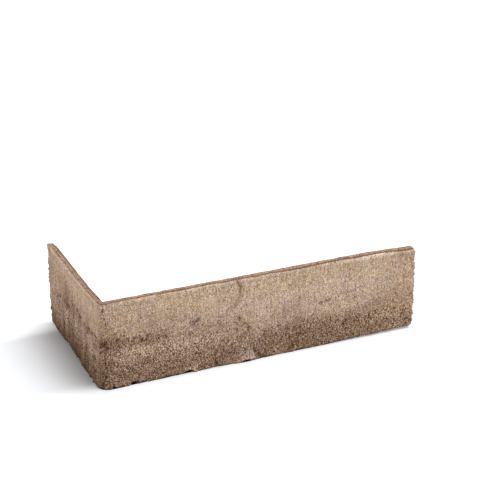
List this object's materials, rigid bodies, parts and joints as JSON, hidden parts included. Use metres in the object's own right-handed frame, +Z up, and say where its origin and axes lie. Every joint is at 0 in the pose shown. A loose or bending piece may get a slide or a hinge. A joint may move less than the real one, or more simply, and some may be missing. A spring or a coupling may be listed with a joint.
{
  "type": "corner brick slip",
  "caption": "Thin L-shaped corner brick slip with a sanded outer face, bonded round the outside corner of a wall to look like a whole brick.",
  "frame": {"origin": "middle of the outside box at the bed the slip stands on", "axes": "+X along the stretcher face from the bend to its end, +Y along the header face from the bend to its end, +Z up along the bend"},
  "size_m": [0.24, 0.115, 0.065],
  "materials": {
    "brick": "matt, sanded"
  },
  "bodies": {
    "root": {"corner_slip": "brick"}
  },
  "joints": []
}
